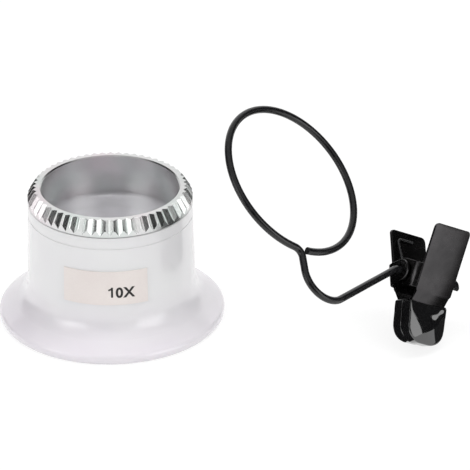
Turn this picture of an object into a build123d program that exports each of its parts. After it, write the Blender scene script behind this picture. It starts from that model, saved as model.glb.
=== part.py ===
from build123d import *
import math
import os

# A watchmaker's loupe that stands on its eye rim, and beside it the wire ring and spring clip
# that carries it on a pair of glasses. Sizes are in millimetres, angles in degrees. The origin
# is the centre of the eye rim on the table, +Z is the optical axis, and -Y faces the viewer.

# The fits between pieces that move or come apart
running_fit = 0.05
seat_gap = 0.05
overrun = 1.0

# The two lenses, flat sides outwards, with a spacer between them and a retaining ring below
lens_radius = 11.7
lens_edge = 0.9
lens_sag = 1.9
vertex_gap = 0.2
spacer_wall = 0.8
retainer_height = 0.9
retainer_wall = 1.3
retainer_slot_width = 1.3
retainer_slot_depth = 0.45

# The lens cell: a turned ring with a notched bevel, and the skirt below it that holds the lenses
lens_ledge = 0.35
skirt_wall = 0.55
skirt_end_margin = 0.1
skirt_above_seat = 3.85
band_width = 1.3
band_height = 1.2
band_rounding = 0.15
bevel_width = 0.95
bevel_height = 1.55
mouth_chamfer = 0.2
notch_count = 57
notch_depth = 0.43
notch_half_angle = 57

# The eyecup: a barrel with a little draft, which flares out to the rim that the eye holds
barrel_draft = 0.45
flange_reach = 4.75
flange_slope_angle = 30
flange_wall = 1.35
flare_rounding = 4.0
rim_edge = 1.5
rim_rounding = 0.8
rim_land_width = 1.8
rim_inner_rounding = 0.3
bell_wall = 1.55
bell_rounding = 4.6
shoulder_low = 8.45
shoulder_height = 1.3
seam_below_top = 1.9
seam_width = 0.26
seam_depth = 0.1

# The paper label on the front of the barrel, a little left of the middle
label_low = 8.67
label_high = 14.65
label_thickness = 0.12
label_start_angle = 31.5
label_arc = 58.55

# The spring clip, in its own frame: x along the pin, y to the back, z up along the handles
sheet = 0.5
handle_width = 7.6
handle_top = 7.88
back_handle_top = 7.68
front_top_offset = 5.83
front_pin_offset = 3.43
back_top_offset = 5.51
back_pin_offset = 3.37
handle_corner = 0.8
knee_height = -3.1
crease_height = -4.8
crease_rounding = 1.3
blade_offset = 1.35
blade_tip = -11.0
neck_width = 7.1
neck_top = -2.9
neck_step_height = 0.35
outer_ear_face = 5.4
outer_ear_bend_radius = 1.6
outer_ear_radius = 1.8
outer_ear_top = 0.8
outer_ear_bottom = -2.6
inner_ear_face = 4.65
inner_ear_bend_radius = 1.6
inner_ear_radius = 2.15
inner_ear_top = 1.1
inner_ear_bottom = -2.8

# The dipped coats of the jaws
cover_top_width = 8.1
cover_tip_width = 7.45
cover_left_top = -4.7
cover_middle_top = -4.85
cover_right_top = -4.4
back_dip_rise = 0.3
cover_tip = -11.5
back_jaw_rise = 0.35
cover_face = 2.15
cover_inner_gap = 0.06
cover_tip_corner = 2.8
cover_top_corner = 0.6
cover_outer_rounding = 0.5
cover_inner_rounding = 0.3

# The wire: ring, stem, U-bend, rising arm and the pin that the levers turn on
wire_diameter = 1.2
wire_tilt_angle = 23.7
ring_grip = 0.55
ring_centre_x = -26.4
ring_centre_z = 11.53
ring_end_angle = -87
stem_offset = 0.55
stem_bend_radius = 1.6
u_bend_radius = 4.4
arm_corner_x = -6.2
arm_foot_z = -13.46
arm_bend_radius = 1.8
pin_end = 5.8
peen_taper_length = 0.6
peen_length = 0.85
peen_width = 2.1
peen_thickness = 0.75
peen_tip_length = 0.3
peen_tip_share = 0.72

# The torsion spring round the pin: each leg runs up a handle's inner face and turns across it
spring_wire = 0.45
coil_radius = 1.5
coil_turns = 5
coil_end_x = 2.8
leg_height = 6.1
leg_corner = 0.8
leg_foot_length = 3.3
quarter_turn = 90
full_turn = 360
half_turn = 180
gap_samples = 600

# Where the clip's frame stands: it rests on a corner of the front jaw's tip
clip_x = 51.64
clip_y = -7.066
clip_z = 10.2465
clip_heading_angle = 43.75
clip_lean_angle = -25.17
clip_roll_angle = 31.19

# The loupe's radii, from the lenses outwards
pocket_radius = lens_radius + running_fit
skirt_radius = pocket_radius + skirt_wall
cell_bore_radius = lens_radius - lens_ledge
cell_radius = skirt_radius + band_width
cell_face_radius = cell_radius - bevel_width
barrel_bore_radius = skirt_radius + running_fit
barrel_foot_radius = cell_radius + barrel_draft
rim_radius = barrel_foot_radius + flange_reach
rim_land_radius = rim_radius - rim_land_width
bell_radius = barrel_foot_radius - bell_wall
shoulder_opening_radius = lens_radius - retainer_wall

# The loupe's heights, from the shoulder in the barrel up through the lenses to the cell's top
shoulder_top = shoulder_low + shoulder_height
skirt_low = shoulder_top + skirt_end_margin
retainer_low = skirt_low + skirt_end_margin
retainer_top = retainer_low + retainer_height
eye_lens_low = retainer_top + seat_gap
eye_lens_top = eye_lens_low + lens_edge
lens_spacing = 2 * lens_sag + vertex_gap
objective_low = eye_lens_top + lens_spacing
objective_top = objective_low + lens_edge
lens_seat_height = objective_top + seat_gap
barrel_top = lens_seat_height + skirt_above_seat
band_low = barrel_top + seat_gap
bevel_low = band_low + band_height
cell_top = bevel_low + bevel_height
seam_height = barrel_top - seam_below_top


def flange_height(radius):
    """Height of the flange's sloping upper side at a radius."""
    return rim_edge + (rim_radius - radius) * math.tan(math.radians(flange_slope_angle))


def barrel_radius(height):
    """Radius of the drafted barrel at a height."""
    foot = flange_height(barrel_foot_radius)
    return barrel_foot_radius + (cell_radius - barrel_foot_radius) * (height - foot) / (barrel_top - foot)


flange_drop = flange_wall / math.cos(math.radians(flange_slope_angle))
rim_land_height = flange_height(rim_land_radius) - flange_drop
bell_foot_height = flange_height(bell_radius) - flange_drop

os.makedirs("parts", exist_ok=True)

# The eyecup is one moulding, turned from its half section
with BuildPart() as eyecup:
    with BuildSketch(Plane.XZ) as eyecup_section:
        with BuildLine():
            flare = FilletPolyline(
                (cell_radius, barrel_top),
                (barrel_foot_radius, flange_height(barrel_foot_radius)),
                (rim_radius, rim_edge),
                (rim_radius, 0),
                (rim_land_radius, 0),
                (rim_land_radius, rim_land_height),
                (bell_radius, bell_foot_height),
                (bell_radius, shoulder_low),
                radius=[
                    flare_rounding,
                    rim_rounding,
                    rim_rounding,
                    rim_inner_rounding,
                    rim_inner_rounding,
                    bell_rounding,
                ],
            )
            Polyline(
                flare @ 1,
                (shoulder_opening_radius, shoulder_low),
                (shoulder_opening_radius, shoulder_top),
                (barrel_bore_radius, shoulder_top),
                (barrel_bore_radius, barrel_top),
                flare @ 0,
            )
        make_face()
    revolve(axis=Axis.Z)
    with BuildSketch(Plane.XZ) as seam_section:
        with Locations((barrel_radius(seam_height), seam_height)):
            Rectangle(2 * seam_depth, seam_width)
    revolve(axis=Axis.Z, mode=Mode.SUBTRACT)
eyecup.part.label = "eyecup"
export_step(eyecup.part, "parts/eyecup.step")

# One notch of the bevel: a V-shaped bar that lies along the slope of the bevel
bevel_run = math.hypot(cell_radius - cell_face_radius, bevel_height)
bevel_direction = Vector(cell_radius - cell_face_radius, 0, -bevel_height).normalized()
notch_start = Vector(cell_face_radius, 0, cell_top) - bevel_direction * overrun
notch_spread = (notch_depth + overrun) * math.tan(math.radians(notch_half_angle))
with BuildPart() as notch_cutter:
    with BuildSketch(Plane(origin=notch_start, x_dir=(0, 1, 0), z_dir=bevel_direction)) as notch_section:
        with BuildLine():
            Polyline((0, -notch_depth), (notch_spread, overrun), (-notch_spread, overrun), close=True)
        make_face()
    extrude(amount=bevel_run + 2 * overrun)

# The lens cell is turned, then notched all round its bevel
with BuildPart() as lens_cell:
    with BuildSketch(Plane.XZ) as cell_section:
        with BuildLine():
            Polyline(
                (cell_bore_radius + mouth_chamfer, cell_top),
                (cell_face_radius, cell_top),
                (cell_radius, bevel_low),
                (cell_radius, band_low + band_rounding),
                (cell_radius - band_rounding, band_low),
                (skirt_radius, band_low),
                (skirt_radius, skirt_low),
                (pocket_radius, skirt_low),
                (pocket_radius, lens_seat_height),
                (cell_bore_radius, lens_seat_height),
                (cell_bore_radius, cell_top - mouth_chamfer),
                close=True,
            )
        make_face()
    revolve(axis=Axis.Z)
    with PolarLocations(0, notch_count):
        add(notch_cutter.part, mode=Mode.SUBTRACT)
lens_cell.part.label = "lens_cell"
export_step(lens_cell.part, "parts/lens_cell.step")


crown_radius = (lens_radius**2 + lens_sag**2) / (2 * lens_sag)
spacer_bore_radius = lens_radius - spacer_wall
crown_rise = math.sqrt(crown_radius**2 - spacer_bore_radius**2) - (crown_radius - lens_sag)


def lens_section(flat_height, edge_height, crown_height):
    """Half section of a lens: flat face, straight edge and a crown about the optical axis."""
    bulge = math.copysign(1, crown_height - edge_height)
    half_sweep = math.degrees(math.asin(lens_radius / crown_radius))
    crown_centre = crown_height - bulge * crown_radius
    with BuildSketch(Plane.XZ) as section:
        with BuildLine():
            if bulge > 0:
                crown = CenterArc((0, crown_centre), crown_radius, quarter_turn - half_sweep, half_sweep)
                Polyline(crown @ 1, (0, flat_height), (lens_radius, flat_height), crown @ 0)
            else:
                crown = CenterArc((0, crown_centre), crown_radius, -quarter_turn, half_sweep)
                Polyline(crown @ 0, (0, flat_height), (lens_radius, flat_height), crown @ 1)
        make_face()
    return section.sketch


# The objective is flat on top and crowned downwards
with BuildPart() as objective_lens:
    revolve(lens_section(objective_top, objective_low, objective_low - lens_sag), axis=Axis.Z)
objective_lens.part.label = "objective_lens"
export_step(objective_lens.part, "parts/objective_lens.step")

# The eye lens is flat below and crowned upwards
with BuildPart() as eye_lens:
    revolve(lens_section(eye_lens_low, eye_lens_top, eye_lens_top + lens_sag), axis=Axis.Z)
eye_lens.part.label = "eye_lens"
export_step(eye_lens.part, "parts/eye_lens.step")

# The spacer holds the two crowns apart, on the edges of its bore
with BuildPart() as lens_spacer:
    with BuildSketch(Plane.XY.offset(eye_lens_top + crown_rise)) as spacer_section:
        Circle(lens_radius)
        Circle(spacer_bore_radius, mode=Mode.SUBTRACT)
    extrude(amount=lens_spacing - 2 * crown_rise)
lens_spacer.part.label = "lens_spacer"
export_step(lens_spacer.part, "parts/lens_spacer.step")

# The retaining ring has two slots in its underside for a spanner
with BuildPart() as retaining_ring:
    with BuildSketch(Plane.XY.offset(retainer_low)) as retainer_section:
        Circle(lens_radius)
        Circle(lens_radius - retainer_wall, mode=Mode.SUBTRACT)
    extrude(amount=retainer_height)
    with BuildSketch(Plane.XY.offset(retainer_low)) as retainer_slot:
        Rectangle(2 * (lens_radius + overrun), retainer_slot_width)
    extrude(amount=retainer_slot_depth, mode=Mode.SUBTRACT)
retaining_ring.part.label = "retaining_ring"
export_step(retaining_ring.part, "parts/retaining_ring.step")

# The label follows the drafted barrel for part of a turn, on both sides of the front
label_azimuth = math.radians(-quarter_turn - label_start_angle)
label_plane = Plane(
    origin=(0, 0, 0),
    x_dir=(math.cos(label_azimuth), math.sin(label_azimuth), 0),
    z_dir=(math.sin(label_azimuth), -math.cos(label_azimuth), 0),
)
with BuildPart() as power_label:
    with BuildSketch(label_plane) as label_section:
        with BuildLine():
            Polyline(
                (barrel_radius(label_low), label_low),
                (barrel_radius(label_low) + label_thickness, label_low),
                (barrel_radius(label_high) + label_thickness, label_high),
                (barrel_radius(label_high), label_high),
                close=True,
            )
        make_face()
    revolve(axis=Axis.Z, revolution_arc=label_arc)
power_label.part.label = "power_label"
export_step(power_label.part, "parts/power_label.step")

# What follows from the sizes of the clip
clip_place = Location(
    (clip_x, clip_y, clip_z), (clip_heading_angle, clip_lean_angle, clip_roll_angle), Intrinsic.ZXY
)
pin_hole_radius = wire_diameter / 2 + running_fit
whole_clip = handle_top - cover_tip


def lean_ratio(side):
    """Slope of a handle, away from the straight jaw blade: side is 1 behind and -1 in front."""
    if side > 0:
        return (back_top_offset - back_pin_offset) / handle_top
    return (front_top_offset - front_pin_offset) / handle_top


def handle_offset(side, height):
    """Place of the handle's middle plane behind the pin's middle plane at a height."""
    pin_offset = back_pin_offset if side > 0 else front_pin_offset
    return side * (pin_offset + height * lean_ratio(side))


def lever_strip(side, tip):
    """Side view of a lever: the leaning handle, a jog below the ears, and the straight jaw blade."""
    with BuildSketch(Plane.YZ) as strip:
        with BuildLine() as strip_line:
            FilletPolyline(
                (handle_offset(side, handle_top), handle_top),
                (handle_offset(side, knee_height), knee_height),
                (side * blade_offset, crease_height),
                (side * blade_offset, tip),
                radius=crease_rounding,
            )
        trace(line_width=sheet)
    return strip.sketch


def handle_outline(top, tip):
    """Front view of a lever: a wide handle, then a narrower neck and blade."""
    half_handle = handle_width / 2
    half_neck = neck_width / 2
    with BuildSketch(Plane.XZ) as outline:
        with BuildLine():
            Polyline(
                (half_handle, top),
                (half_handle, neck_top),
                (half_neck, neck_top - neck_step_height),
                (half_neck, tip),
                (-half_neck, tip),
                (-half_neck, neck_top - neck_step_height),
                (-half_handle, neck_top),
                (-half_handle, top),
                close=True,
            )
        make_face()
        fillet(outline.vertices().group_by(Axis.Y)[-1], radius=handle_corner)
        blade_corner = cover_tip_corner - (cover_tip_width - neck_width) / 2
        fillet(outline.vertices().group_by(Axis.Y)[0], radius=blade_corner)
    return outline.sketch


def ear_profile(side, radius, top, bottom):
    """Side view of an ear: a disc round the pin, drawn out to the lever's handle."""
    with BuildSketch(Plane.YZ) as ear:
        with BuildLine():
            CenterArc((0, 0), radius, 0, full_turn)
            Line(
                (handle_offset(side, bottom) + side * sheet, bottom),
                (handle_offset(side, top) + side * sheet, top),
            )
        make_hull()
    return ear.sketch


def ear_channel(side, face, bend):
    """Section of the channel that the ears are bent from, square to the handle's lean."""
    lean = math.atan(lean_ratio(side))
    middle = face - sheet / 2
    plate = handle_offset(side, 0) * math.cos(lean)
    channel_plane = Plane(
        origin=(0, 0, 0), x_dir=(1, 0, 0), z_dir=(0, side * math.sin(lean), math.cos(lean))
    )
    with BuildSketch(channel_plane) as channel:
        with BuildLine():
            FilletPolyline(
                (-middle, -plate),
                (-middle, plate),
                (middle, plate),
                (middle, -plate),
                radius=bend - sheet / 2,
            )
        trace(line_width=sheet)
    return channel.sketch


# The pair of outer ears, bent forward from the back lever's sheet
with BuildPart() as outer_ears:
    extrude(ear_channel(1, outer_ear_face, outer_ear_bend_radius), amount=whole_clip, both=True)
    outer_profile = ear_profile(1, outer_ear_radius, outer_ear_top, outer_ear_bottom)
    extrude(outer_profile, amount=whole_clip, both=True, mode=Mode.INTERSECT)

# The back lever, whose jaw ends a little short of the front one
with BuildPart() as back_lever:
    extrude(lever_strip(1, blade_tip + back_jaw_rise), amount=handle_width, both=True)
    back_outline = handle_outline(back_handle_top, blade_tip + back_jaw_rise)
    extrude(back_outline, amount=whole_clip, both=True, mode=Mode.INTERSECT)
    add(outer_ears.part)
    with BuildSketch(Plane.YZ) as back_pin_hole:
        Circle(pin_hole_radius)
    extrude(amount=whole_clip, both=True, mode=Mode.SUBTRACT)
back_lever.part.label = "back_lever"

# The pair of inner ears, bent back from the front lever's sheet
with BuildPart() as inner_ears:
    extrude(ear_channel(-1, inner_ear_face, inner_ear_bend_radius), amount=whole_clip, both=True)
    inner_profile = ear_profile(-1, inner_ear_radius, inner_ear_top, inner_ear_bottom)
    extrude(inner_profile, amount=whole_clip, both=True, mode=Mode.INTERSECT)

# The front lever, whose ears turn between the outer ones
with BuildPart() as front_lever:
    extrude(lever_strip(-1, blade_tip), amount=handle_width, both=True)
    extrude(handle_outline(handle_top, blade_tip), amount=whole_clip, both=True, mode=Mode.INTERSECT)
    add(inner_ears.part)
    with BuildSketch(Plane.YZ) as front_pin_hole:
        Circle(pin_hole_radius)
    extrude(amount=whole_clip, both=True, mode=Mode.SUBTRACT)
front_lever.part.label = "front_lever"


def cover_outline(side, dip_rise, tip):
    """Front view of a dipped coat, on the plane of its inner face: the dip's edge sags."""
    half_top = cover_top_width / 2
    half_tip = cover_tip_width / 2
    with BuildSketch(Plane.XZ.offset(-side * cover_inner_gap)) as outline:
        with BuildLine():
            dip_edge = ThreePointArc(
                (-half_top, cover_left_top + dip_rise),
                (0, cover_middle_top + dip_rise),
                (half_top, cover_right_top + dip_rise),
            )
            Polyline(dip_edge @ 1, (half_tip, tip), (-half_tip, tip), dip_edge @ 0)
        make_face()
        fillet(outline.vertices().group_by(Axis.Y)[0], radius=cover_tip_corner)
        fillet(outline.vertices().sort_by(Axis.Y)[-2:], radius=cover_top_corner)
    return outline.sketch


# Each coat is a pillow with the lever's blade inside it
with BuildPart() as back_jaw_cover:
    back_cover_outline = cover_outline(1, back_dip_rise, cover_tip + back_jaw_rise)
    extrude(back_cover_outline, amount=-(cover_face - cover_inner_gap))
    fillet(back_jaw_cover.faces().sort_by(Axis.Y)[-1].edges(), radius=cover_outer_rounding)
    fillet(back_jaw_cover.faces().sort_by(Axis.Y)[0].edges(), radius=cover_inner_rounding)
    add(back_lever.part, mode=Mode.SUBTRACT)
back_jaw_cover.part.label = "back_jaw_cover"

with BuildPart() as front_jaw_cover:
    extrude(cover_outline(-1, 0, cover_tip), amount=cover_face - cover_inner_gap)
    fillet(front_jaw_cover.faces().sort_by(Axis.Y)[0].edges(), radius=cover_outer_rounding)
    fillet(front_jaw_cover.faces().sort_by(Axis.Y)[-1].edges(), radius=cover_inner_rounding)
    add(front_lever.part, mode=Mode.SUBTRACT)
front_jaw_cover.part.label = "front_jaw_cover"

# The wire lies in one plane through the pin, tilted back from the handles, and its ring is a
# little smaller than the barrel that it grips
wire_plane = Plane.XZ.rotated((-wire_tilt_angle, 0, 0))
ring_radius = cell_radius - ring_grip
stem_x = ring_centre_x - stem_offset
bend_x = stem_x - stem_bend_radius
bend_drop = math.sqrt((ring_radius + stem_bend_radius) ** 2 - (bend_x - ring_centre_x) ** 2)
bend_z = ring_centre_z - bend_drop
ring_start_angle = math.degrees(math.atan2(bend_z - ring_centre_z, bend_x - ring_centre_x))
with BuildPart() as wire_holder:
    with BuildLine(wire_plane) as wire_path:
        CenterArc(
            (ring_centre_x, ring_centre_z),
            ring_radius,
            ring_end_angle,
            full_turn + ring_start_angle - ring_end_angle,
        )
        CenterArc((bend_x, bend_z), stem_bend_radius, 0, half_turn + ring_start_angle)
        FilletPolyline(
            (stem_x, bend_z),
            (stem_x, arm_foot_z),
            (arm_corner_x, 0),
            (pin_end, 0),
            radius=[u_bend_radius, arm_bend_radius],
        )
    pin_plane = Plane(origin=(pin_end, 0, 0), x_dir=wire_plane.y_dir, z_dir=(1, 0, 0))
    with BuildSketch(pin_plane) as wire_section:
        Circle(wire_diameter / 2)
    sweep(path=wire_path.wires()[0])
    peen_plane = pin_plane.offset(peen_taper_length)
    with BuildSketch(pin_plane) as peen_root:
        Circle(wire_diameter / 2)
    with BuildSketch(peen_plane) as peen_section:
        Ellipse(peen_width / 2, peen_thickness / 2)
    loft()
    with BuildSketch(peen_plane) as peen_flat:
        Ellipse(peen_width / 2, peen_thickness / 2)
    extrude(amount=peen_length)
    tip_plane = peen_plane.offset(peen_length)
    with BuildSketch(tip_plane) as peen_edge:
        Ellipse(peen_width / 2, peen_thickness / 2)
    with BuildSketch(tip_plane.offset(peen_tip_length)) as peen_tip:
        Ellipse(peen_tip_share * peen_width / 2, peen_tip_share * peen_thickness / 2)
    loft()
wire_holder.part.label = "wire_holder"

# The spring: one wire from the foot of the back leg, round the pin, to the foot of the front leg


def leg_offset(side):
    """Place of a leg's foot behind the pin, against the handle's inner face."""
    clearance = (sheet + spring_wire) / 2 + seat_gap
    return handle_offset(side, leg_height) - side * clearance / math.cos(math.atan(lean_ratio(side)))


def leg_lean(side):
    """Lean of a leg that leaves the coil at a tangent and meets the handle's inner face."""
    reach = math.hypot(leg_offset(side), leg_height)
    return math.degrees(math.atan2(abs(leg_offset(side)), leg_height) - math.asin(coil_radius / reach))


back_lean = leg_lean(1)
coil_sweep = half_turn - back_lean - leg_lean(-1) + coil_turns * full_turn
coil_steps = math.ceil(coil_sweep / quarter_turn)
coil_pitch_step = 2 * coil_end_x / (coil_steps - 1)


def coil_point(step):
    """Point and direction on the coil after a number of equal steps from the back leg."""
    angle = math.radians(-back_lean - coil_sweep * step / coil_steps)
    advance = min(max(step - 1 / 2, 0), coil_steps - 1) * coil_pitch_step
    slope = 0 if step in (0, coil_steps) else coil_pitch_step
    arc_step = coil_radius * math.radians(coil_sweep / coil_steps)
    point = Vector(advance - coil_end_x, coil_radius * math.cos(angle), coil_radius * math.sin(angle))
    direction = Vector(slope, arc_step * math.sin(angle), -arc_step * math.cos(angle))
    return point, direction.normalized()


def biarc(start, start_direction, end, end_direction):
    """Two arcs that join two points smoothly in their two directions."""
    chord = end - start
    total = start_direction + end_direction
    spread = 4 - total.dot(total)
    along = chord.dot(total)
    reach = (math.sqrt(along**2 + spread * chord.dot(chord)) - along) / spread
    first_corner = start + start_direction * reach
    second_corner = end - end_direction * reach
    middle = (first_corner + second_corner) / 2
    TangentArc(start, middle, tangent=start_direction)
    TangentArc(middle, end, tangent=second_corner - first_corner)


def spring_leg(side):
    """A leg that leaves the coil, runs up a handle's inner face and turns across it."""
    coil_end = coil_point(0 if side > 0 else coil_steps)[0]
    FilletPolyline(
        coil_end,
        (-side * coil_end_x, leg_offset(side), leg_height),
        (-side * (coil_end_x - leg_foot_length), leg_offset(side), leg_height),
        radius=leg_corner,
    )


with BuildPart() as torsion_spring:
    with BuildLine() as spring_path:
        spring_leg(1)
        for step in range(coil_steps):
            biarc(*coil_point(step), *coil_point(step + 1))
        spring_leg(-1)
    spring_wire_path = spring_path.wires()[0]
    spring_start = Plane(origin=spring_wire_path @ 0, z_dir=spring_wire_path % 0)
    with BuildSketch(spring_start) as spring_section:
        Circle(spring_wire / 2)
    sweep(path=spring_wire_path)
torsion_spring.part.label = "torsion_spring"

# The least gap of the spring to itself, measured on points along its path
spring_length = spring_wire_path.length
spring_points = [spring_wire_path @ (index / gap_samples) for index in range(gap_samples + 1)]
near_points = math.ceil(gap_samples * coil_radius * math.pi / spring_length)
least_gap = min(
    (spring_points[first] - spring_points[second]).length - spring_wire
    for first in range(gap_samples + 1)
    for second in range(first + near_points, gap_samples + 1)
)
print("spring length", round(spring_length, 2), "least gap to itself", round(least_gap, 3))
print("spring volume", round(torsion_spring.part.volume, 3), "section times length",
      round(spring_length * math.pi * spring_wire**2 / 4, 3))

# The holder's pieces go to their place beside the loupe
back_lever.part.locate(clip_place)
export_step(back_lever.part, "parts/back_lever.step")
front_lever.part.locate(clip_place)
export_step(front_lever.part, "parts/front_lever.step")
back_jaw_cover.part.locate(clip_place)
export_step(back_jaw_cover.part, "parts/back_jaw_cover.step")
front_jaw_cover.part.locate(clip_place)
export_step(front_jaw_cover.part, "parts/front_jaw_cover.step")
wire_holder.part.locate(clip_place)
export_step(wire_holder.part, "parts/wire_holder.step")
torsion_spring.part.locate(clip_place)
export_step(torsion_spring.part, "parts/torsion_spring.step")

lowest = min(piece.part.bounding_box().min.Z for piece in (front_jaw_cover, back_jaw_cover, wire_holder))
print("lowest point of the holder", round(lowest, 4))
print("clip frame", clip_place.orientation, clip_place.position)
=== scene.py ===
# %% [markdown]
# # A clip-on eyeglass loupe
# Two loose things stand on a pale table. On the left is a watchmaker's loupe: a white moulded eyecup
# with a turned aluminium lens cell screwed into its top. On the right is the holder that carries it
# on a pair of glasses: a black wire ring on a small spring clip. The solids come from the packed
# frame. This lesson gives them their finishes, and remakes the pieces whose edges or forms need more.

# %% Load the frame
import bpy
import math
from mathutils import Matrix, Vector
from mathutils.bvhtree import BVHTree


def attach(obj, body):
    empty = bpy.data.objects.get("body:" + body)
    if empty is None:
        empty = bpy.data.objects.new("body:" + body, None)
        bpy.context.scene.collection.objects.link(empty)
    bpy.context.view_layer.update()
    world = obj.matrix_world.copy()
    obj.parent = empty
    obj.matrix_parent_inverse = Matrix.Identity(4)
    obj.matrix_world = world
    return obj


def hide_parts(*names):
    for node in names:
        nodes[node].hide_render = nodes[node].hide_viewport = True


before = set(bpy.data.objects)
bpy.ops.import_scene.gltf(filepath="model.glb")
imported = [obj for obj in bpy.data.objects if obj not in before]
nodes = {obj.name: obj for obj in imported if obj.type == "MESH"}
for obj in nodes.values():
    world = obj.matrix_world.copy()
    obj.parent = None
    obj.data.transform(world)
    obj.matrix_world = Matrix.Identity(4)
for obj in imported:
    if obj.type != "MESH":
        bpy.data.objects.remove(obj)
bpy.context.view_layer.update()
mm = 0.001

# %% [markdown]
# Everything is in metres and in the frame of the solids, but the object is small, so its sizes are
# easier to read in millimetres. The clip leans three ways at once on the table. Its pieces are
# modelled upright in the clip's own millimetre frame, x along the pivot pin, y to the back and z up
# the handles, and one matrix then carries them to their place.

# %% The clip's own frame
pin_centre = Vector((51.64, -7.066, 10.2465)) * mm
clip_heading, clip_lean, clip_roll = 43.75, -25.17, 31.19
clip_frame = (
    Matrix.Translation(pin_centre)
    @ Matrix.Rotation(math.radians(clip_heading), 4, "Z")
    @ Matrix.Rotation(math.radians(clip_lean), 4, "X")
    @ Matrix.Rotation(math.radians(clip_roll), 4, "Y")
    @ Matrix.Scale(mm, 4)
)
print("pin runs along", tuple(round(a, 3) for a in clip_frame.to_3x3().col[0].normalized()))

# %% [markdown]
# A few helpers keep each step short. An operator acts on whatever is selected, so every step begins
# with nothing selected and then picks its own object.


# %% Helpers for objects
def only(piece):
    """Make one object the only selected one, and the active one."""
    if bpy.context.object and bpy.context.object.mode != "OBJECT":
        bpy.ops.object.mode_set(mode="OBJECT")
    bpy.ops.object.select_all(action="DESELECT")
    piece.select_set(True)
    bpy.context.view_layer.objects.active = piece


def modify(piece, kind, **settings):
    """Add a modifier with its settings and apply it at once."""
    only(piece)
    modifier = piece.modifiers.new(kind.lower(), kind)
    for key, value in settings.items():
        setattr(modifier, key, value)
    bpy.ops.object.modifier_apply(modifier=modifier.name)


def place_in_mesh(piece, matrix=None):
    """Move the object's place, and then a given matrix, into its mesh."""
    only(piece)
    bpy.ops.object.transform_apply(location=True, rotation=True, scale=True)
    if matrix:
        piece.data.transform(matrix)
        piece.data.update()


def smooth(piece, angle):
    """Shade smoothly, but keep edges sharper than the angle."""
    only(piece)
    bpy.ops.object.shade_smooth_by_angle(angle=math.radians(angle))


# %% [markdown]
# ## Finishes
# Each finish is a small tree of nodes that reads Object coordinates, so it sits still on its piece
# from every side. The helper below starts a material with a Principled shader, and sets the values
# that are the same all over on the shader's own sockets. The other helpers add nodes to it.


# %% Helpers for materials
def finish(name, **sockets):
    """A material with a Principled shader whose named sockets are set."""
    material = bpy.data.materials.new(name)
    material.use_nodes = True
    shader = material.node_tree.nodes["Principled BSDF"]
    for key, value in sockets.items():
        shader.inputs[key.replace("_", " ")].default_value = value
    print("new finish:", name)
    return material, material.node_tree, shader


def add_node(tree, kind, **values):
    """A node of a kind, with properties and input values set by name."""
    made = tree.nodes.new(kind)
    for key, value in values.items():
        if key in made.inputs:
            made.inputs[key].default_value = value
        else:
            setattr(made, key, value)
    return made


def object_point(tree):
    """The socket with the point's place on the object, in metres."""
    return add_node(tree, "ShaderNodeTexCoord").outputs["Object"]


def noise(tree, point, scale, detail=3.0, roughness=0.5):
    """Noise of a scale, in waves per metre of the point given."""
    made = add_node(tree, "ShaderNodeTexNoise", Scale=scale, Detail=detail, Roughness=roughness)
    tree.links.new(point, made.inputs["Vector"])
    return made.outputs["Fac"]


def ramp(tree, factor, *stops):
    """A colour ramp through stops of (position, colour)."""
    made = tree.nodes.new("ShaderNodeValToRGB")
    band = made.color_ramp
    while len(band.elements) < len(stops):
        band.elements.new(0.5)
    for element, (position, colour) in zip(band.elements, stops):
        element.position = position
        element.color = (*colour, 1.0)
    tree.links.new(factor, made.inputs["Fac"])
    return made.outputs["Color"]


def ranged(tree, factor, low, high, from_low=0.3, from_high=0.7):
    """A factor stretched to a range of values. Noise keeps mostly between 0.3 and 0.7."""
    made = add_node(tree, "ShaderNodeMapRange")
    made.inputs["From Min"].default_value = from_low
    made.inputs["From Max"].default_value = from_high
    made.inputs["To Min"].default_value = low
    made.inputs["To Max"].default_value = high
    tree.links.new(factor, made.inputs["Value"])
    return made.outputs["Result"]


def bump(tree, shader, height, strength, distance):
    """Relief on the shader's normal, with its full height in metres as the distance."""
    made = add_node(tree, "ShaderNodeBump", Strength=strength, Distance=distance)
    tree.links.new(height, made.inputs["Height"])
    tree.links.new(made.outputs["Normal"], shader.inputs["Normal"])


def arithmetic(tree, operation, *values):
    """A Math node on sockets or plain numbers."""
    made = add_node(tree, "ShaderNodeMath", operation=operation)
    for socket, value in zip(made.inputs, values):
        if isinstance(value, (int, float)):
            socket.default_value = value
        else:
            tree.links.new(value, socket)
    return made.outputs["Value"]


def blended(tree, first, second, share):
    """Two factors as one, the first by its share and the second by the rest."""
    return arithmetic(
        tree,
        "ADD",
        arithmetic(tree, "MULTIPLY", first, share),
        arithmetic(tree, "MULTIPLY", second, 1 - share),
    )


def wear(piece, material):
    """Give an object one material all over."""
    piece.data.materials.clear()
    piece.data.materials.append(material)
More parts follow.
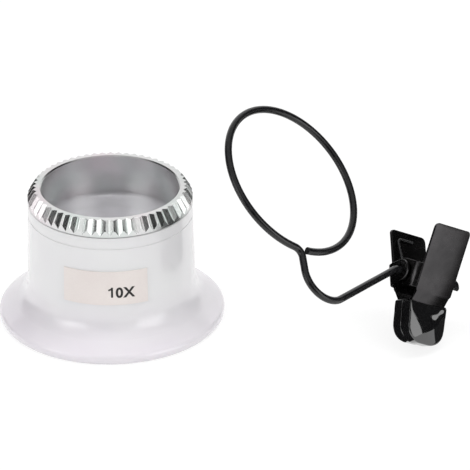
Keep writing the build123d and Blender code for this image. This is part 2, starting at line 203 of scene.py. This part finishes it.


# %% [markdown]
# The eyecup is moulded in white plastic with a faint lilac tint. Its colour is painted darker and
# more lilac towards the flare, as painted shade. It is smooth enough to show soft window shapes there,
# but its skin isn't a mirror. A clear coat over a rougher base gives that double gloss, a little light
# passes under the skin, and a fine orange-peel relief breaks up the reflections. Broad, weak noise
# keeps the white from being one flat colour.

# %% White moulded plastic
flare_shade_from, flare_shade_to = 0.002, 0.010
moulded, tree, shader = finish(
    "white moulded plastic",
    Subsurface_Weight=0.3,
    Subsurface_Radius=(0.003, 0.0028, 0.0028),
    Subsurface_Scale=1.0,
    Coat_Weight=1.0,
    Coat_Roughness=0.09,
    IOR=1.49,
)
point = object_point(tree)
split = add_node(tree, "ShaderNodeSeparateXYZ")
tree.links.new(point, split.inputs["Vector"])
# Up to 10 mm above the table the colour is painted darker and more lilac, a painted shade on the flare;
# the noise is the plastic's own uneven tone.
flare_shade_and_tone = arithmetic(
    tree,
    "ADD",
    ranged(tree, split.outputs["Z"], 0.0, 0.7, flare_shade_from, flare_shade_to),
    ranged(tree, noise(tree, point, 90, detail=2.0), 0.0, 0.3),
)
tree.links.new(
    ramp(tree, flare_shade_and_tone, (0.05, (0.770, 0.732, 0.782)), (0.95, (0.812, 0.810, 0.815))),
    shader.inputs["Base Color"],
)
tree.links.new(ranged(tree, noise(tree, point, 700), 0.30, 0.40), shader.inputs["Roughness"])
bump(tree, shader, noise(tree, point, 1400, detail=4.0), strength=0.10, distance=0.00002)

# %% [markdown]
# The lens cell is turned from aluminium. A lathe leaves rings, closer together than the eye can
# count: noise that is read at the point's radius and height, but not round the turn, gives them on
# the walls and on the flat faces at once. Such rings spread a highlight across themselves, which
# anisotropy does for gloss. Broad noise mixes weak pink and green patches into the metal's colour,
# as a painted reflection of coloured bands.

# %% Turned aluminium
turned, tree, shader = finish("turned aluminium", Metallic=1.0, Anisotropic=0.85)
round_the_axis = add_node(tree, "ShaderNodeTangent", direction_type="RADIAL", axis="Z")
tree.links.new(round_the_axis.outputs["Tangent"], shader.inputs["Tangent"])
point = object_point(tree)
split = add_node(tree, "ShaderNodeSeparateXYZ")
tree.links.new(point, split.inputs["Vector"])
radius_squared = arithmetic(
    tree,
    "ADD",
    arithmetic(tree, "MULTIPLY", split.outputs["X"], split.outputs["X"]),
    arithmetic(tree, "MULTIPLY", split.outputs["Y"], split.outputs["Y"]),
)
lathe = add_node(tree, "ShaderNodeCombineXYZ")
tree.links.new(arithmetic(tree, "SQRT", radius_squared), lathe.inputs["X"])
tree.links.new(split.outputs["Z"], lathe.inputs["Y"])
rings = noise(tree, lathe.outputs["Vector"], 9000, detail=5.0, roughness=0.7)
# Weak pink and green patches in the base colour: a painted reflection of coloured bands.
painted_reflection_tint = noise(tree, point, 130, detail=1.0)
tree.links.new(
    ramp(
        tree,
        painted_reflection_tint,
        (0.34, (0.690, 0.725, 0.710)),
        (0.50, (0.750, 0.745, 0.745)),
        (0.66, (0.765, 0.715, 0.735)),
    ),
    shader.inputs["Base Color"],
)
tree.links.new(ranged(tree, rings, 0.16, 0.26), shader.inputs["Roughness"])
bump(tree, shader, rings, strength=0.18, distance=0.00001)

# %% [markdown]
# The spacer between the lenses and the slotted ring under them are the same metal, left duller,
# because they sit out of reach of the polishing cloth.

# %% Dull aluminium
dull, tree, shader = finish("dull aluminium", Metallic=1.0)
grain = noise(tree, object_point(tree), 1600, detail=4.0)
tree.links.new(
    ramp(tree, grain, (0.3, (0.60, 0.61, 0.60)), (0.7, (0.72, 0.72, 0.72))),
    shader.inputs["Base Color"],
)
tree.links.new(ranged(tree, grain, 0.28, 0.42), shader.inputs["Roughness"])
bump(tree, shader, grain, strength=0.15, distance=0.00002)

# %% [markdown]
# The lenses are crown glass. Seen from above they look milky, with the pale eyecup and a breath of
# dust behind and on them, so the glass lets most of the light through but not all of it. The dust
# shows as a slightly rougher patch here and there.

# %% Lens glass
lens_glass, tree, shader = finish(
    "lens glass", Transmission_Weight=0.7, IOR=1.52, Base_Color=(0.95, 0.94, 0.97, 1.0)
)
dust = noise(tree, object_point(tree), 500, detail=5.0)
tree.links.new(ranged(tree, dust, 0.0, 0.05, 0.55, 0.8), shader.inputs["Roughness"])

# %% [markdown]
# The label is thin cream paper with a pink cast. Fine noise gives its fibres, and its colour changes
# a little in broad patches. The figures are printed in near-black ink, a little thinner in places.

# %% Label paper and ink
paper, tree, shader = finish("label paper", Roughness=0.78, Sheen_Weight=0.1)
point = object_point(tree)
fibres = noise(tree, point, 2600, detail=6.0, roughness=0.65)
patches = noise(tree, point, 160, detail=2.0)
tree.links.new(
    ramp(
        tree,
        blended(tree, fibres, patches, 0.35),
        (0.35, (0.790, 0.725, 0.700)),
        (0.65, (0.835, 0.780, 0.750)),
    ),
    shader.inputs["Base Color"],
)
bump(tree, shader, fibres, strength=0.25, distance=0.00002)

ink, tree, shader = finish("printing ink", Roughness=0.45)
spread = noise(tree, object_point(tree), 3000, detail=3.0)
tree.links.new(
    ramp(tree, spread, (0.3, (0.006, 0.005, 0.005)), (0.8, (0.025, 0.022, 0.021))),
    shader.inputs["Base Color"],
)

# %% [markdown]
# The levers are stamped from thin steel and chemically blackened. The black is a skin over metal, so
# the shader is a dark metal with a satin gloss. Fine scratches run across the handles, where fingers
# press. One Mapping node turns the point into the clip's own frame, and a second one stretches the
# noise along the pin.

# %% Blackened steel
along_the_pin = 0.12
blackened, tree, shader = finish("blackened steel", Metallic=1.0)
point = object_point(tree)
turn = add_node(tree, "ShaderNodeMapping", vector_type="TEXTURE")
turn.inputs["Rotation"].default_value = clip_frame.to_euler()
tree.links.new(point, turn.inputs["Vector"])
stretch = add_node(tree, "ShaderNodeMapping")
stretch.inputs["Scale"].default_value = (along_the_pin, 1.0, 1.0)
tree.links.new(turn.outputs["Vector"], stretch.inputs["Vector"])
scratches = noise(tree, stretch.outputs["Vector"], 5200, detail=6.0, roughness=0.7)
mottle = noise(tree, point, 420, detail=4.0, roughness=0.6)
tree.links.new(
    ramp(tree, mottle, (0.32, (0.062, 0.060, 0.062)), (0.68, (0.084, 0.081, 0.083))),
    shader.inputs["Base Color"],
)
tree.links.new(
    ranged(tree, blended(tree, scratches, mottle, 0.6), 0.20, 0.30), shader.inputs["Roughness"]
)
bump(tree, shader, scratches, strength=0.12, distance=0.00001)

# %% [markdown]
# The jaws are dipped in liquid plastic, which dries to a deep, wet-looking black. A clear coat with a
# high refractive index over a near-black base gives that, and a broad, faint relief keeps its
# reflections from being ruled lines.

# %% Dipped plastic
dipped, tree, shader = finish("dipped plastic", Coat_Weight=1.0, Coat_Roughness=0.02, Coat_IOR=1.72)
point = object_point(tree)
tree.links.new(
    ramp(tree, noise(tree, point, 300), (0.3, (0.003, 0.003, 0.0035)), (0.7, (0.006, 0.006, 0.0065))),
    shader.inputs["Base Color"],
)
tree.links.new(ranged(tree, noise(tree, point, 900, detail=4.0), 0.04, 0.10), shader.inputs["Roughness"])
bump(tree, shader, noise(tree, point, 260, detail=2.0), strength=0.2, distance=0.00008)

# %% [markdown]
# The wire has a thinner, satin coat. The spring is dark drawn wire that still shows its metal.

# %% Coated wire and spring steel
coated, tree, shader = finish("coated wire", IOR=1.5, Specular_IOR_Level=0.55)
skin = noise(tree, object_point(tree), 1500, detail=4.0)
tree.links.new(
    ramp(tree, skin, (0.3, (0.004, 0.004, 0.005)), (0.7, (0.010, 0.010, 0.011))),
    shader.inputs["Base Color"],
)
tree.links.new(ranged(tree, skin, 0.20, 0.32), shader.inputs["Roughness"])
bump(tree, shader, skin, strength=0.12, distance=0.00002)

drawn, tree, shader = finish("drawn spring wire", Metallic=1.0)
streaks = noise(tree, object_point(tree), 2400, detail=5.0)
tree.links.new(
    ramp(tree, streaks, (0.3, (0.075, 0.075, 0.078)), (0.7, (0.130, 0.130, 0.133))),
    shader.inputs["Base Color"],
)
tree.links.new(ranged(tree, streaks, 0.2, 0.32), shader.inputs["Roughness"])

# %% [markdown]
# ## The loupe
# The eyecup, the cell and the optical stack already have their real shapes in the solids: they were
# turned there from the same half sections that a lathe or a mould would follow. The bent wire was
# swept there along its whole route. They keep their meshes, and only take their finishes.

# %% Dress the turned, moulded and bent nodes
for name, material in (
    ("eyecup", moulded),
    ("lens_cell", turned),
    ("objective_lens", lens_glass),
    ("eye_lens", lens_glass),
    ("lens_spacer", dull),
    ("retaining_ring", dull),
    ("power_label", paper),
    ("wire_holder", coated),
):
    wear(nodes[name], material)
    print(name, "wears", material.name)

# %% [markdown]
# The label's power figures are ink, a few hundredths of a millimetre thick. They will be wrapped
# round the label, which narrows upward with the barrel, so its radius is read from its own mesh at
# both edges. A point within a hundredth of a millimetre of an edge counts as touching it.

# %% Measure the label
touch = 0.01
label_points = [v.co / mm for v in nodes["power_label"].data.vertices]
label_low = min(p.z for p in label_points)
label_high = max(p.z for p in label_points)
label_radius_low = max(math.hypot(p.x, p.y) for p in label_points if p.z < label_low + touch)
label_radius_high = max(math.hypot(p.x, p.y) for p in label_points if p.z > label_high - touch)


def label_radius(height):
    """Radius of the label's outer side at a height, in millimetres."""
    share = (height - label_low) / (label_high - label_low)
    return label_radius_low + share * (label_radius_high - label_radius_low)


print("label radius", round(label_radius_low, 3), "at the foot and", round(label_radius_high, 3))

# %% [markdown]
# The 0 and the X are typed as a text object and made a mesh. The font's 1 is a bare bar, but the
# printed one has a flag too, so it is drawn as two bars before them. Sizes are in units of the type
# here.

# %% The printed figures
zero_x, one_x = 0.53, 0.28
stroke = 0.135
flag_reach, flag_drop = 0.24, 0.21
flag_stroke = stroke * 0.8
half_depth = 0.5

bpy.ops.object.select_all(action="DESELECT")
bpy.ops.object.text_add(location=(zero_x, 0, 0))
figures = bpy.context.object
figures.name = "power_figures"
figures.data.body = "0X"
figures.data.size = 1.0
figures.data.offset = 0.03
figures.data.space_character = 1.12
figures.data.extrude = half_depth
figures.data.resolution_u = 6
only(figures)
bpy.ops.object.convert(target="MESH")
place_in_mesh(figures)
cap = max(v.co.y for v in figures.data.vertices)


def ink_bar(start, end, width):
    """A flat bar of ink between two points of the line of type, joined to the figures."""
    middle = (Vector(start) + Vector(end)) / 2
    run = Vector(end) - Vector(start)
    bpy.ops.object.select_all(action="DESELECT")
    bpy.ops.mesh.primitive_cube_add(
        size=1, location=(*middle, 0), rotation=(0, 0, math.atan2(run.y, run.x))
    )
    piece = bpy.context.object
    piece.scale = (run.length, width, 2 * half_depth)
    place_in_mesh(piece)
    figures.select_set(True)
    bpy.context.view_layer.objects.active = figures
    bpy.ops.object.join()


ink_bar((one_x, 0), (one_x, cap), stroke)
flag_root = (one_x + stroke * 0.35, cap - stroke * 0.45)
ink_bar(flag_root, (one_x - flag_reach, cap - flag_drop), flag_stroke)
typed = [v.co for v in figures.data.vertices]
typed_left = min(p.x for p in typed)
typed_width = max(p.x for p in typed) - typed_left
print("typed figures are", round(typed_width, 3), "wide and", round(cap, 3), "high")

# %% [markdown]
# Each point of the type is now carried round the barrel: its distance along the line becomes an
# angle, and its height stays. Many short edges are needed for the letters to follow the curve, so the
# mesh is subdivided before it is wrapped.

# %% Wrap the figures round the barrel
figure_height = 1.81
figure_width = 4.45
figure_baseline = 10.05
front_angle, figure_middle_angle = -90, 8.9
figure_depth = 0.02

bpy.ops.object.mode_set(mode="EDIT")
bpy.ops.mesh.select_all(action="SELECT")
bpy.ops.mesh.quads_convert_to_tris()
bpy.ops.mesh.subdivide(number_cuts=1)
bpy.ops.object.mode_set(mode="OBJECT")
for vertex in figures.data.vertices:
    along = ((vertex.co.x - typed_left) / typed_width - 0.5) * figure_width
    height = figure_baseline + vertex.co.y / cap * figure_height
    proud = figure_depth * (vertex.co.z + half_depth)
    reach = (label_radius(height) + proud) * mm
    angle = math.radians(front_angle + figure_middle_angle) + along / label_radius(height)
    vertex.co = (reach * math.cos(angle), reach * math.sin(angle), height * mm)
wear(figures, ink)
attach(figures, "eyecup")
print("figures", len(figures.data.polygons), "faces")

# %% [markdown]
# ## The clip
# A stamped lever has small rounded edges, which catch the light as thin bright lines. The solids
# leave them sharp, so each lever is copied. The copy drops the solid's marks, its doubled points are
# merged, its flat faces are joined, and a narrow bevel goes on every sharp edge. It then stands for
# the solid. The bevel isn't clamped: the shortest edges would otherwise hold it back to nothing.
# Where two short edges meet at a slant it can then throw a corner far out as a spike, so each point
# that has strayed is put back on the solid's surface.

# %% Levers with stamped edges
edge_round = 0.07
stray_limit = 0.03
merge_distance = 0.001
flat_angle, sharp_angle = 1.5, 38


def put_back_strays(piece, solid):
    """Move the points that lie too far off a solid back onto it, and count them."""
    surface = BVHTree.FromPolygons([v.co for v in solid.vertices], [p.vertices for p in solid.polygons])
    strays = 0
    for vertex in piece.data.vertices:
        place, _, _, distance = surface.find_nearest(vertex.co)
        if distance > stray_limit * mm:
            vertex.co = place
            strays += 1
    return strays


def stamped(node, name, body):
    """A bevelled copy of a lever, which replaces it."""
    piece = nodes[node].copy()
    piece.data = nodes[node].data.copy()
    piece.name = name
    piece.parent = None
    bpy.context.scene.collection.objects.link(piece)
    only(piece)
    for key in list(piece.keys()):
        del piece[key]
    bpy.ops.object.mode_set(mode="EDIT")
    bpy.ops.mesh.select_all(action="SELECT")
    bpy.ops.mesh.remove_doubles(threshold=merge_distance * mm)
    bpy.ops.mesh.dissolve_limited(angle_limit=math.radians(flat_angle))
    bpy.ops.object.mode_set(mode="OBJECT")
    modify(
        piece,
        "BEVEL",
        width=edge_round * mm,
        segments=3,
        limit_method="ANGLE",
        angle_limit=math.radians(sharp_angle),
        use_clamp_overlap=False,
    )
    strays = put_back_strays(piece, nodes[node].data)
    smooth(piece, angle=30)
    wear(piece, blackened)
    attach(piece, body)
    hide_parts(node)
    print(name, len(piece.data.polygons), "faces;", strays, "points put back")


stamped("back_lever", "back_lever_plate", "clip_back")
stamped("front_lever", "front_lever_plate", "clip_front")

# %% [markdown]
# The dipped coats are thick, rounded and a little swollen, because the liquid pulls itself round as
# it dries. Each starts as a cube at the coat's size. Its tip is drawn in, its right shoulder raised,
# and its corners get wide and narrow bevels in the front view. The back coat sits a little higher
# than the front one.

# %% Sizes of the dipped coats
cover_top_width, cover_tip_width = 8.1, 7.45
cover_left_top, cover_right_top = -4.7, -4.4
back_dip_rise, back_jaw_rise = 0.3, 0.35
cover_tip = -11.5
cover_face, cover_inner_gap = 2.15, 0.06
cover_thickness = cover_face - cover_inner_gap
tip_corner, top_corner = 2.8, 0.6
print("a coat is", cover_top_width, "wide and", round(cover_thickness, 2), "thick")

# %% [markdown]
# Each edit to the block renumbers its edges, so they are picked by where they lie and how they run.


# %% Block out a coat
def pick(piece, wanted, kind="EDGE"):
    """In edit mode, select only the edges or faces that a test wants.

    The test gets the middle of each, and then an edge's run or a face's normal.
    """
    bpy.ops.object.mode_set(mode="EDIT")
    bpy.ops.mesh.select_mode(type=kind)
    bpy.ops.mesh.select_all(action="DESELECT")
    bpy.ops.object.mode_set(mode="OBJECT")
    mesh = piece.data
    if kind == "FACE":
        for face in mesh.polygons:
            face.select = wanted(face.center, face.normal)
    else:
        for edge in mesh.edges:
            first, second = (mesh.vertices[i].co for i in edge.vertices)
            edge.select = wanted((first + second) / 2, second - first)
    bpy.ops.object.mode_set(mode="EDIT")


def runs_through(way):
    """Whether an edge runs from a coat's face to its inner side."""
    return abs(way.y) > max(abs(way.x), abs(way.z))


def coat_block(name, side, top, tip):
    """A coat's flat-faced block in the clip's frame: side is 1 behind and -1 in front."""
    middle = side * (cover_face + cover_inner_gap) / 2
    bpy.ops.object.select_all(action="DESELECT")
    bpy.ops.mesh.primitive_cube_add(size=1, location=(0, middle, (top + tip) / 2))
    piece = bpy.context.object
    piece.name = name
    piece.scale = (cover_top_width, cover_thickness, top - tip)
    place_in_mesh(piece)
    pick(piece, lambda at, way: at.z < tip + touch, kind="FACE")
    bpy.ops.transform.resize(
        value=(cover_tip_width / cover_top_width, 1, 1), center_override=(0, middle, tip)
    )
    pick(piece, lambda at, way: at.x > touch and at.z > top - touch)
    bpy.ops.transform.translate(value=(0, 0, cover_right_top - cover_left_top))
    pick(piece, lambda at, way: runs_through(way) and at.z < tip + touch)
    bpy.ops.mesh.bevel(offset=tip_corner, segments=12, affect="EDGES")
    pick(piece, lambda at, way: runs_through(way) and at.z > top - touch)
    bpy.ops.mesh.bevel(offset=top_corner, segments=5, affect="EDGES")
    bpy.ops.object.mode_set(mode="OBJECT")
    return piece


# %% [markdown]
# A remesh wraps the block in a fine, even grid, and smoothing rounds every rim as drying does. Last, a
# formula swells the outer face to a crown and lets the dip's edge sag in the middle.

# %% The dipped coats
skin_grain = 0.11
crown = 0.65
rim_drop = 0.15
cover_sag = 0.3


def jaw_coat(name, node, side, top, tip, body):
    """A swollen coat for one jaw, which replaces its flat-faced solid."""
    piece = coat_block(name, side, top, tip)
    modify(piece, "REMESH", mode="VOXEL", voxel_size=skin_grain)
    modify(piece, "SMOOTH", factor=0.5, iterations=14)
    for vertex in piece.data.vertices:
        across = max(1 - (2 * vertex.co.x / cover_top_width) ** 2, 0)
        up = (vertex.co.z - tip) / (top - tip)
        out = (side * vertex.co.y - cover_inner_gap) / cover_thickness
        swell = crown * across * max(4 * up * (1 - up), 0) - rim_drop
        vertex.co.y += side * swell * out
        vertex.co.z -= cover_sag * across * up
    place_in_mesh(piece, clip_frame)
    smooth(piece, angle=60)
    wear(piece, dipped)
    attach(piece, body)
    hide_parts(node)
    print(name, len(piece.data.polygons), "faces")


back_top, back_tip = cover_left_top + back_dip_rise, cover_tip + back_jaw_rise
jaw_coat("back_jaw_coat", "back_jaw_cover", 1, back_top, back_tip, "clip_back")
jaw_coat("front_jaw_coat", "front_jaw_cover", -1, cover_left_top, cover_tip, "clip_front")

# %% [markdown]
# The spring is one wire in life, but here its front leg has to follow the front lever when the
# handles are squeezed. It is split where the front leg leaves the coil: the coil and the back leg
# ride with the back lever, and the front leg turns with the front lever about the same pin. The front
# leg starts a little way down the coil, so the two still touch at the end of a squeeze, and the coil
# is a hair thinner there, so that it lies inside the leg's start at rest. A foot lies on each handle's
# inner face. The two handles don't lean alike, so the feet are at unlike distances from the pin.

# %% The spring's sizes
spring_wire = 0.45
coil_radius = 1.5
coil_turns = 5
coil_end_x = 2.8
leg_height = 6.1
leg_foot_length = 3.3
leg_corner = 0.8
back_leg_foot, front_leg_foot = 4.483, -4.739


def leg_lean(foot):
    """Lean, in degrees, of a leg that leaves the coil at a tangent and ends over its foot."""
    reach = math.hypot(foot, leg_height)
    return math.degrees(math.atan2(abs(foot), leg_height) - math.asin(coil_radius / reach))


back_lean, front_lean = leg_lean(back_leg_foot), leg_lean(front_leg_foot)
coil_sweep = 180 - back_lean - front_lean + 360 * coil_turns
print("coil turns", round(coil_sweep / 360, 3), "leans", round(back_lean, 2), round(front_lean, 2))

# %% [markdown]
# The wire's line is worked out point by point. The coil climbs along the pin evenly, apart from about
# an eighth of a turn at each end, which stays flat so that the leg leaves it square to the pin. A leg
# runs straight to a rounded corner, and its foot turns in across the handle.

# %% The spring's line
steps_per_turn = 24
corner_steps = 8
quarter_turns = math.ceil(coil_sweep / 90)
climb_per_quarter = 2 * coil_end_x / (quarter_turns - 1)


def coil_point(share):
    """Point of the coil at a share of its way from the back leg to the front leg."""
    angle = math.radians(-back_lean - coil_sweep * share)
    climb = min(max(quarter_turns * share - 0.5, 0), quarter_turns - 1) * climb_per_quarter
    return Vector((climb - coil_end_x, coil_radius * math.cos(angle), coil_radius * math.sin(angle)))


def coil_points(first_share, last_share):
    """Points of a stretch of the coil."""
    count = math.ceil((last_share - first_share) * coil_sweep / 360 * steps_per_turn)
    return [coil_point(first_share + (last_share - first_share) * i / count) for i in range(count + 1)]


def leg_points(start, side, foot):
    """Points of a leg from its rounded corner to the end of its foot, after its start on the coil."""
    corner = Vector((-side * coil_end_x, foot, leg_height))
    inward = (start - corner).normalized()
    along = Vector((side, 0, 0))
    half_angle = inward.angle(along) / 2
    centre = corner + (inward + along).normalized() * (leg_corner / math.sin(half_angle))
    first = corner + inward * (leg_corner / math.tan(half_angle)) - centre
    last = corner + along * (leg_corner / math.tan(half_angle)) - centre
    bend = [
        centre + first.slerp(last, i / corner_steps).normalized() * leg_corner
        for i in range(corner_steps + 1)
    ]
    return bend + [corner + along * leg_foot_length]


back_leg = leg_points(coil_point(0), 1, back_leg_foot)
front_leg = leg_points(coil_point(1), -1, front_leg_foot)
print("back foot ends at", tuple(round(a, 2) for a in back_leg[-1]))

# %% [markdown]
# A curve with a round bevel lays the wire along that line, and is then made a mesh.

# %% The torsion spring
overlap_angle = 34
inner_share = 0.95


def wire_piece(name, path, thin, body):
    """A round wire along points in the clip's frame; its last few points may be a little thinner."""
    bpy.ops.object.select_all(action="DESELECT")
    bpy.ops.curve.primitive_nurbs_path_add()
    piece = bpy.context.object
    piece.name = name
    curve = piece.data
    curve.splines.clear()
    spline = curve.splines.new("POLY")
    spline.points.add(len(path) - 1)
    for index, place in enumerate(path):
        spline.points[index].co = (*place, 1.0)
        spline.points[index].radius = inner_share if index >= len(path) - thin else 1.0
    curve.bevel_depth = spring_wire / 2
    curve.bevel_resolution = 4
    curve.use_fill_caps = True
    only(piece)
    bpy.ops.object.convert(target="MESH")
    place_in_mesh(piece, clip_frame)
    smooth(piece, angle=50)
    wear(piece, drawn)
    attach(piece, body)
    print(name, len(piece.data.polygons), "faces")
    return piece


overlap_start = 1 - overlap_angle / coil_sweep
overlap = coil_points(overlap_start, 1)
coil_path = back_leg[::-1] + coil_points(0, overlap_start) + overlap[1:]
coil = wire_piece("spring_coil", coil_path, len(overlap) - 1, "clip_back")
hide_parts("torsion_spring")
wire_piece("spring_front_leg", overlap + front_leg, 0, "clip_front")

# %% [markdown]
# ## The set
# The table and the background are one pale surface. So much white would wash out the shadows, so what
# is seen and what gives light are kept apart: a Light Path node tells a ray from the camera, from
# gloss or through glass from a ray that only gathers light for a dull surface.


# %% What is seen, and what only gives light
def seen_directly(tree):
    """1 for rays from the camera, from gloss and through glass, and 0 for light on dull surfaces."""
    light_path = add_node(tree, "ShaderNodeLightPath")
    glossy_or_through = arithmetic(
        tree, "MAXIMUM", light_path.outputs["Is Glossy Ray"], light_path.outputs["Is Transmission Ray"]
    )
    return arithmetic(tree, "MAXIMUM", light_path.outputs["Is Camera Ray"], glossy_or_through)


# %% [markdown]
# The camera stands where the photographer's did, far away with a long lens, so the object keeps
# nearly parallel sides.

# %% The camera
camera_place = Vector((20.55, -482.0, 263.07)) * mm
camera_tilt = 62.7
camera_lens, sensor_width = 250.8, 36.0
bpy.ops.object.select_all(action="DESELECT")
bpy.ops.object.camera_add(location=camera_place, rotation=(math.radians(camera_tilt), 0, 0))
camera = bpy.context.object
camera.data.lens = camera_lens
camera.data.sensor_width = sensor_width
camera.data.clip_start = 0.05
camera.data.clip_end = 20.0
bpy.context.scene.camera = camera
print("camera lens", round(camera.data.lens, 1))

# %% [markdown]
# The floor has to be white to the picture's edge and still keep the object's soft shadow. Where it is
# seen directly it glows, with a little dull white on top, and only that part darkens in the shadow.
# For light that bounces it is a plain dull white.

# %% The floor
floor_drop = 0.00002
floor_glow, floor_dull = 0.82, 0.22
bpy.ops.object.select_all(action="DESELECT")
bpy.ops.mesh.primitive_plane_add(size=6.0, location=(0, 0, -floor_drop))
floor = bpy.context.object
floor.name = "floor"
pale, tree, shader = finish("pale floor", Roughness=0.9, Base_Color=(0.86, 0.86, 0.86, 1.0))
shade = add_node(tree, "ShaderNodeBsdfDiffuse", Color=(floor_dull, floor_dull, floor_dull, 1.0))
glow = add_node(tree, "ShaderNodeEmission", Strength=floor_glow)
bright = add_node(tree, "ShaderNodeAddShader")
tree.links.new(shade.outputs["BSDF"], bright.inputs[0])
tree.links.new(glow.outputs["Emission"], bright.inputs[1])
blend = add_node(tree, "ShaderNodeMixShader")
tree.links.new(seen_directly(tree), blend.inputs["Fac"])
tree.links.new(shader.outputs["BSDF"], blend.inputs[1])
tree.links.new(bright.outputs["Shader"], blend.inputs[2])
tree.links.new(blend.outputs["Shader"], tree.nodes["Material Output"].inputs["Surface"])
wear(floor, pale)

# %% [markdown]
# The world is white where it is seen. As a light it is less than half as bright, so that the lamps
# still shape things.

# %% The world
seen_level, light_level = 1.0, 0.45
world = bpy.data.worlds.new("studio")
bpy.context.scene.world = world
world.use_nodes = True
tree = world.node_tree
background = tree.nodes["Background"]
background.inputs["Color"].default_value = (1.0, 1.0, 1.0, 1.0)
strength = ranged(tree, seen_directly(tree), light_level, seen_level, 0.0, 1.0)
tree.links.new(strength, background.inputs["Strength"])
print("the world gives light at", light_level)

# %% [markdown]
# Four soft lamps shape the white eyecup: two overhead, and two at the front corners. Gloss doesn't
# show them, because the panels below are placed for that, and a lamp's own edge would draw a hard
# shape on the flare.

# %% Lamps
middle_of_the_set = (0.02, 0.0, 0.01)


def softbox(name, place, size, power):
    """A rectangular lamp that faces the middle of the set and lights dull surfaces only."""
    bpy.ops.object.select_all(action="DESELECT")
    bpy.ops.object.light_add(type="AREA", location=place)
    lamp = bpy.context.object
    lamp.name = name
    lamp.visible_glossy = False
    lamp.data.shape = "RECTANGLE"
    lamp.data.size, lamp.data.size_y = size
    lamp.data.energy = power
    toward = Vector(middle_of_the_set) - Vector(place)
    lamp.rotation_euler = toward.to_track_quat("-Z", "Y").to_euler()
    print(name, power, "W")


softbox("overhead_left", (-0.19, 0.02, 0.62), (0.16, 0.45), 0.8)
softbox("overhead_right", (0.23, 0.02, 0.62), (0.16, 0.45), 1.3)
softbox("front_left", (-0.43, -0.37, 0.25), (0.34, 0.26), 1.0)
softbox("front_right", (0.47, -0.37, 0.25), (0.34, 0.26), 1.0)

# %% [markdown]
# A mirror-like piece shows the room round it, and in an all-white room metal turns white and black
# plastic turns grey. So sheets stand round the set that only gloss can see. Black felt at the sides,
# at the front and low beside the clip gives the notches their dark faces and keeps the coats black.
# Two bright panels at the front corners make the window shapes on the flare and the light band on
# the front coat, and a grey ceiling calms the lens cell's top.


# %% Sheets that only gloss sees
def glowing(name, level):
    """A material that shines evenly, at a level where 1 is white."""
    material, tree, _ = finish(name)
    glow = add_node(tree, "ShaderNodeEmission", Strength=level)
    tree.links.new(glow.outputs["Emission"], tree.nodes["Material Output"].inputs["Surface"])
    return material


def show_to_gloss_only(sheet, name, material):
    """Name a sheet, give it its material and hide it from everything but gloss."""
    sheet.name = name
    sheet.visible_camera = False
    sheet.visible_diffuse = False
    sheet.visible_shadow = False
    sheet.visible_transmission = False
    wear(sheet, material)
    print(name, "wears", material.name)


def card(name, place, size, aim, material):
    """A rectangular sheet that faces a point, for gloss only."""
    bpy.ops.object.select_all(action="DESELECT")
    bpy.ops.mesh.primitive_plane_add(size=1, location=place)
    sheet = bpy.context.object
    sheet.scale = (*size, 1)
    sheet.rotation_euler = (Vector(aim) - Vector(place)).to_track_quat("Z", "Y").to_euler()
    show_to_gloss_only(sheet, name, material)


felt = finish("black felt", Roughness=1.0, Base_Color=(0.02, 0.02, 0.02, 1.0))[0]
panel_light = glowing("panel light", 2.0)
grey_ceiling = glowing("grey ceiling", 0.5)

card("right_card", (0.35, 0.13, 0.22), (0.5, 0.44), (-0.5, 0.13, 0.22), felt)
card("left_card", (-0.36, 0.13, 0.225), (0.46, 0.44), (0.5, 0.13, 0.225), felt)
card("camera_card", (0.02, -0.62, 0.405), (3.6, 0.8), (0.02, 0.5, 0.405), felt)
card("left_panel", (-0.43, -0.37, 0.25), (0.32, 0.26), (0.02, 0.0, 0.01), panel_light)
card("right_panel", (0.47, -0.37, 0.19), (0.36, 0.40), (0.02, 0.0, 0.1), panel_light)
card("ceiling_card", (0.02, 0.0, 0.66), (1.4, 1.4), (0.02, 0.0, 0.0), grey_ceiling)
card("low_card", (0.036, -0.006, 0.008), (0.026, 0.016), (0.1, -0.006, 0.008), felt)
# The two dark sheets on the floor round the clip are a painted shade: only the coats' gloss sees them,
# as a darker floor.
card("painted_floor_shade_left", (0.042, -0.010, 0.0001), (0.013, 0.014), (0.042, -0.010, 0.1), felt)
card("painted_floor_shade_right", (0.204, 0.022, 0.0001), (0.292, 0.076), (0.204, 0.022, 0.1), felt)

# %% [markdown]
# A small round light just in front of the right card makes the spot on the front coat.

# %% A round window
window_place = (0.345, 0.047, 0.065)
window_radius = 0.022
bpy.ops.object.select_all(action="DESELECT")
bpy.ops.mesh.primitive_circle_add(
    vertices=48, radius=window_radius, fill_type="NGON", location=window_place
)
round_window = bpy.context.object
round_window.rotation_euler = (0, math.radians(-90), 0)
show_to_gloss_only(round_window, "round_window", glowing("window light", 1.7))

# %% [markdown]
# A colour should render as it is written, so the view transform is the plain one.

# %% Colour management
bpy.context.scene.view_settings.view_transform = "Standard"
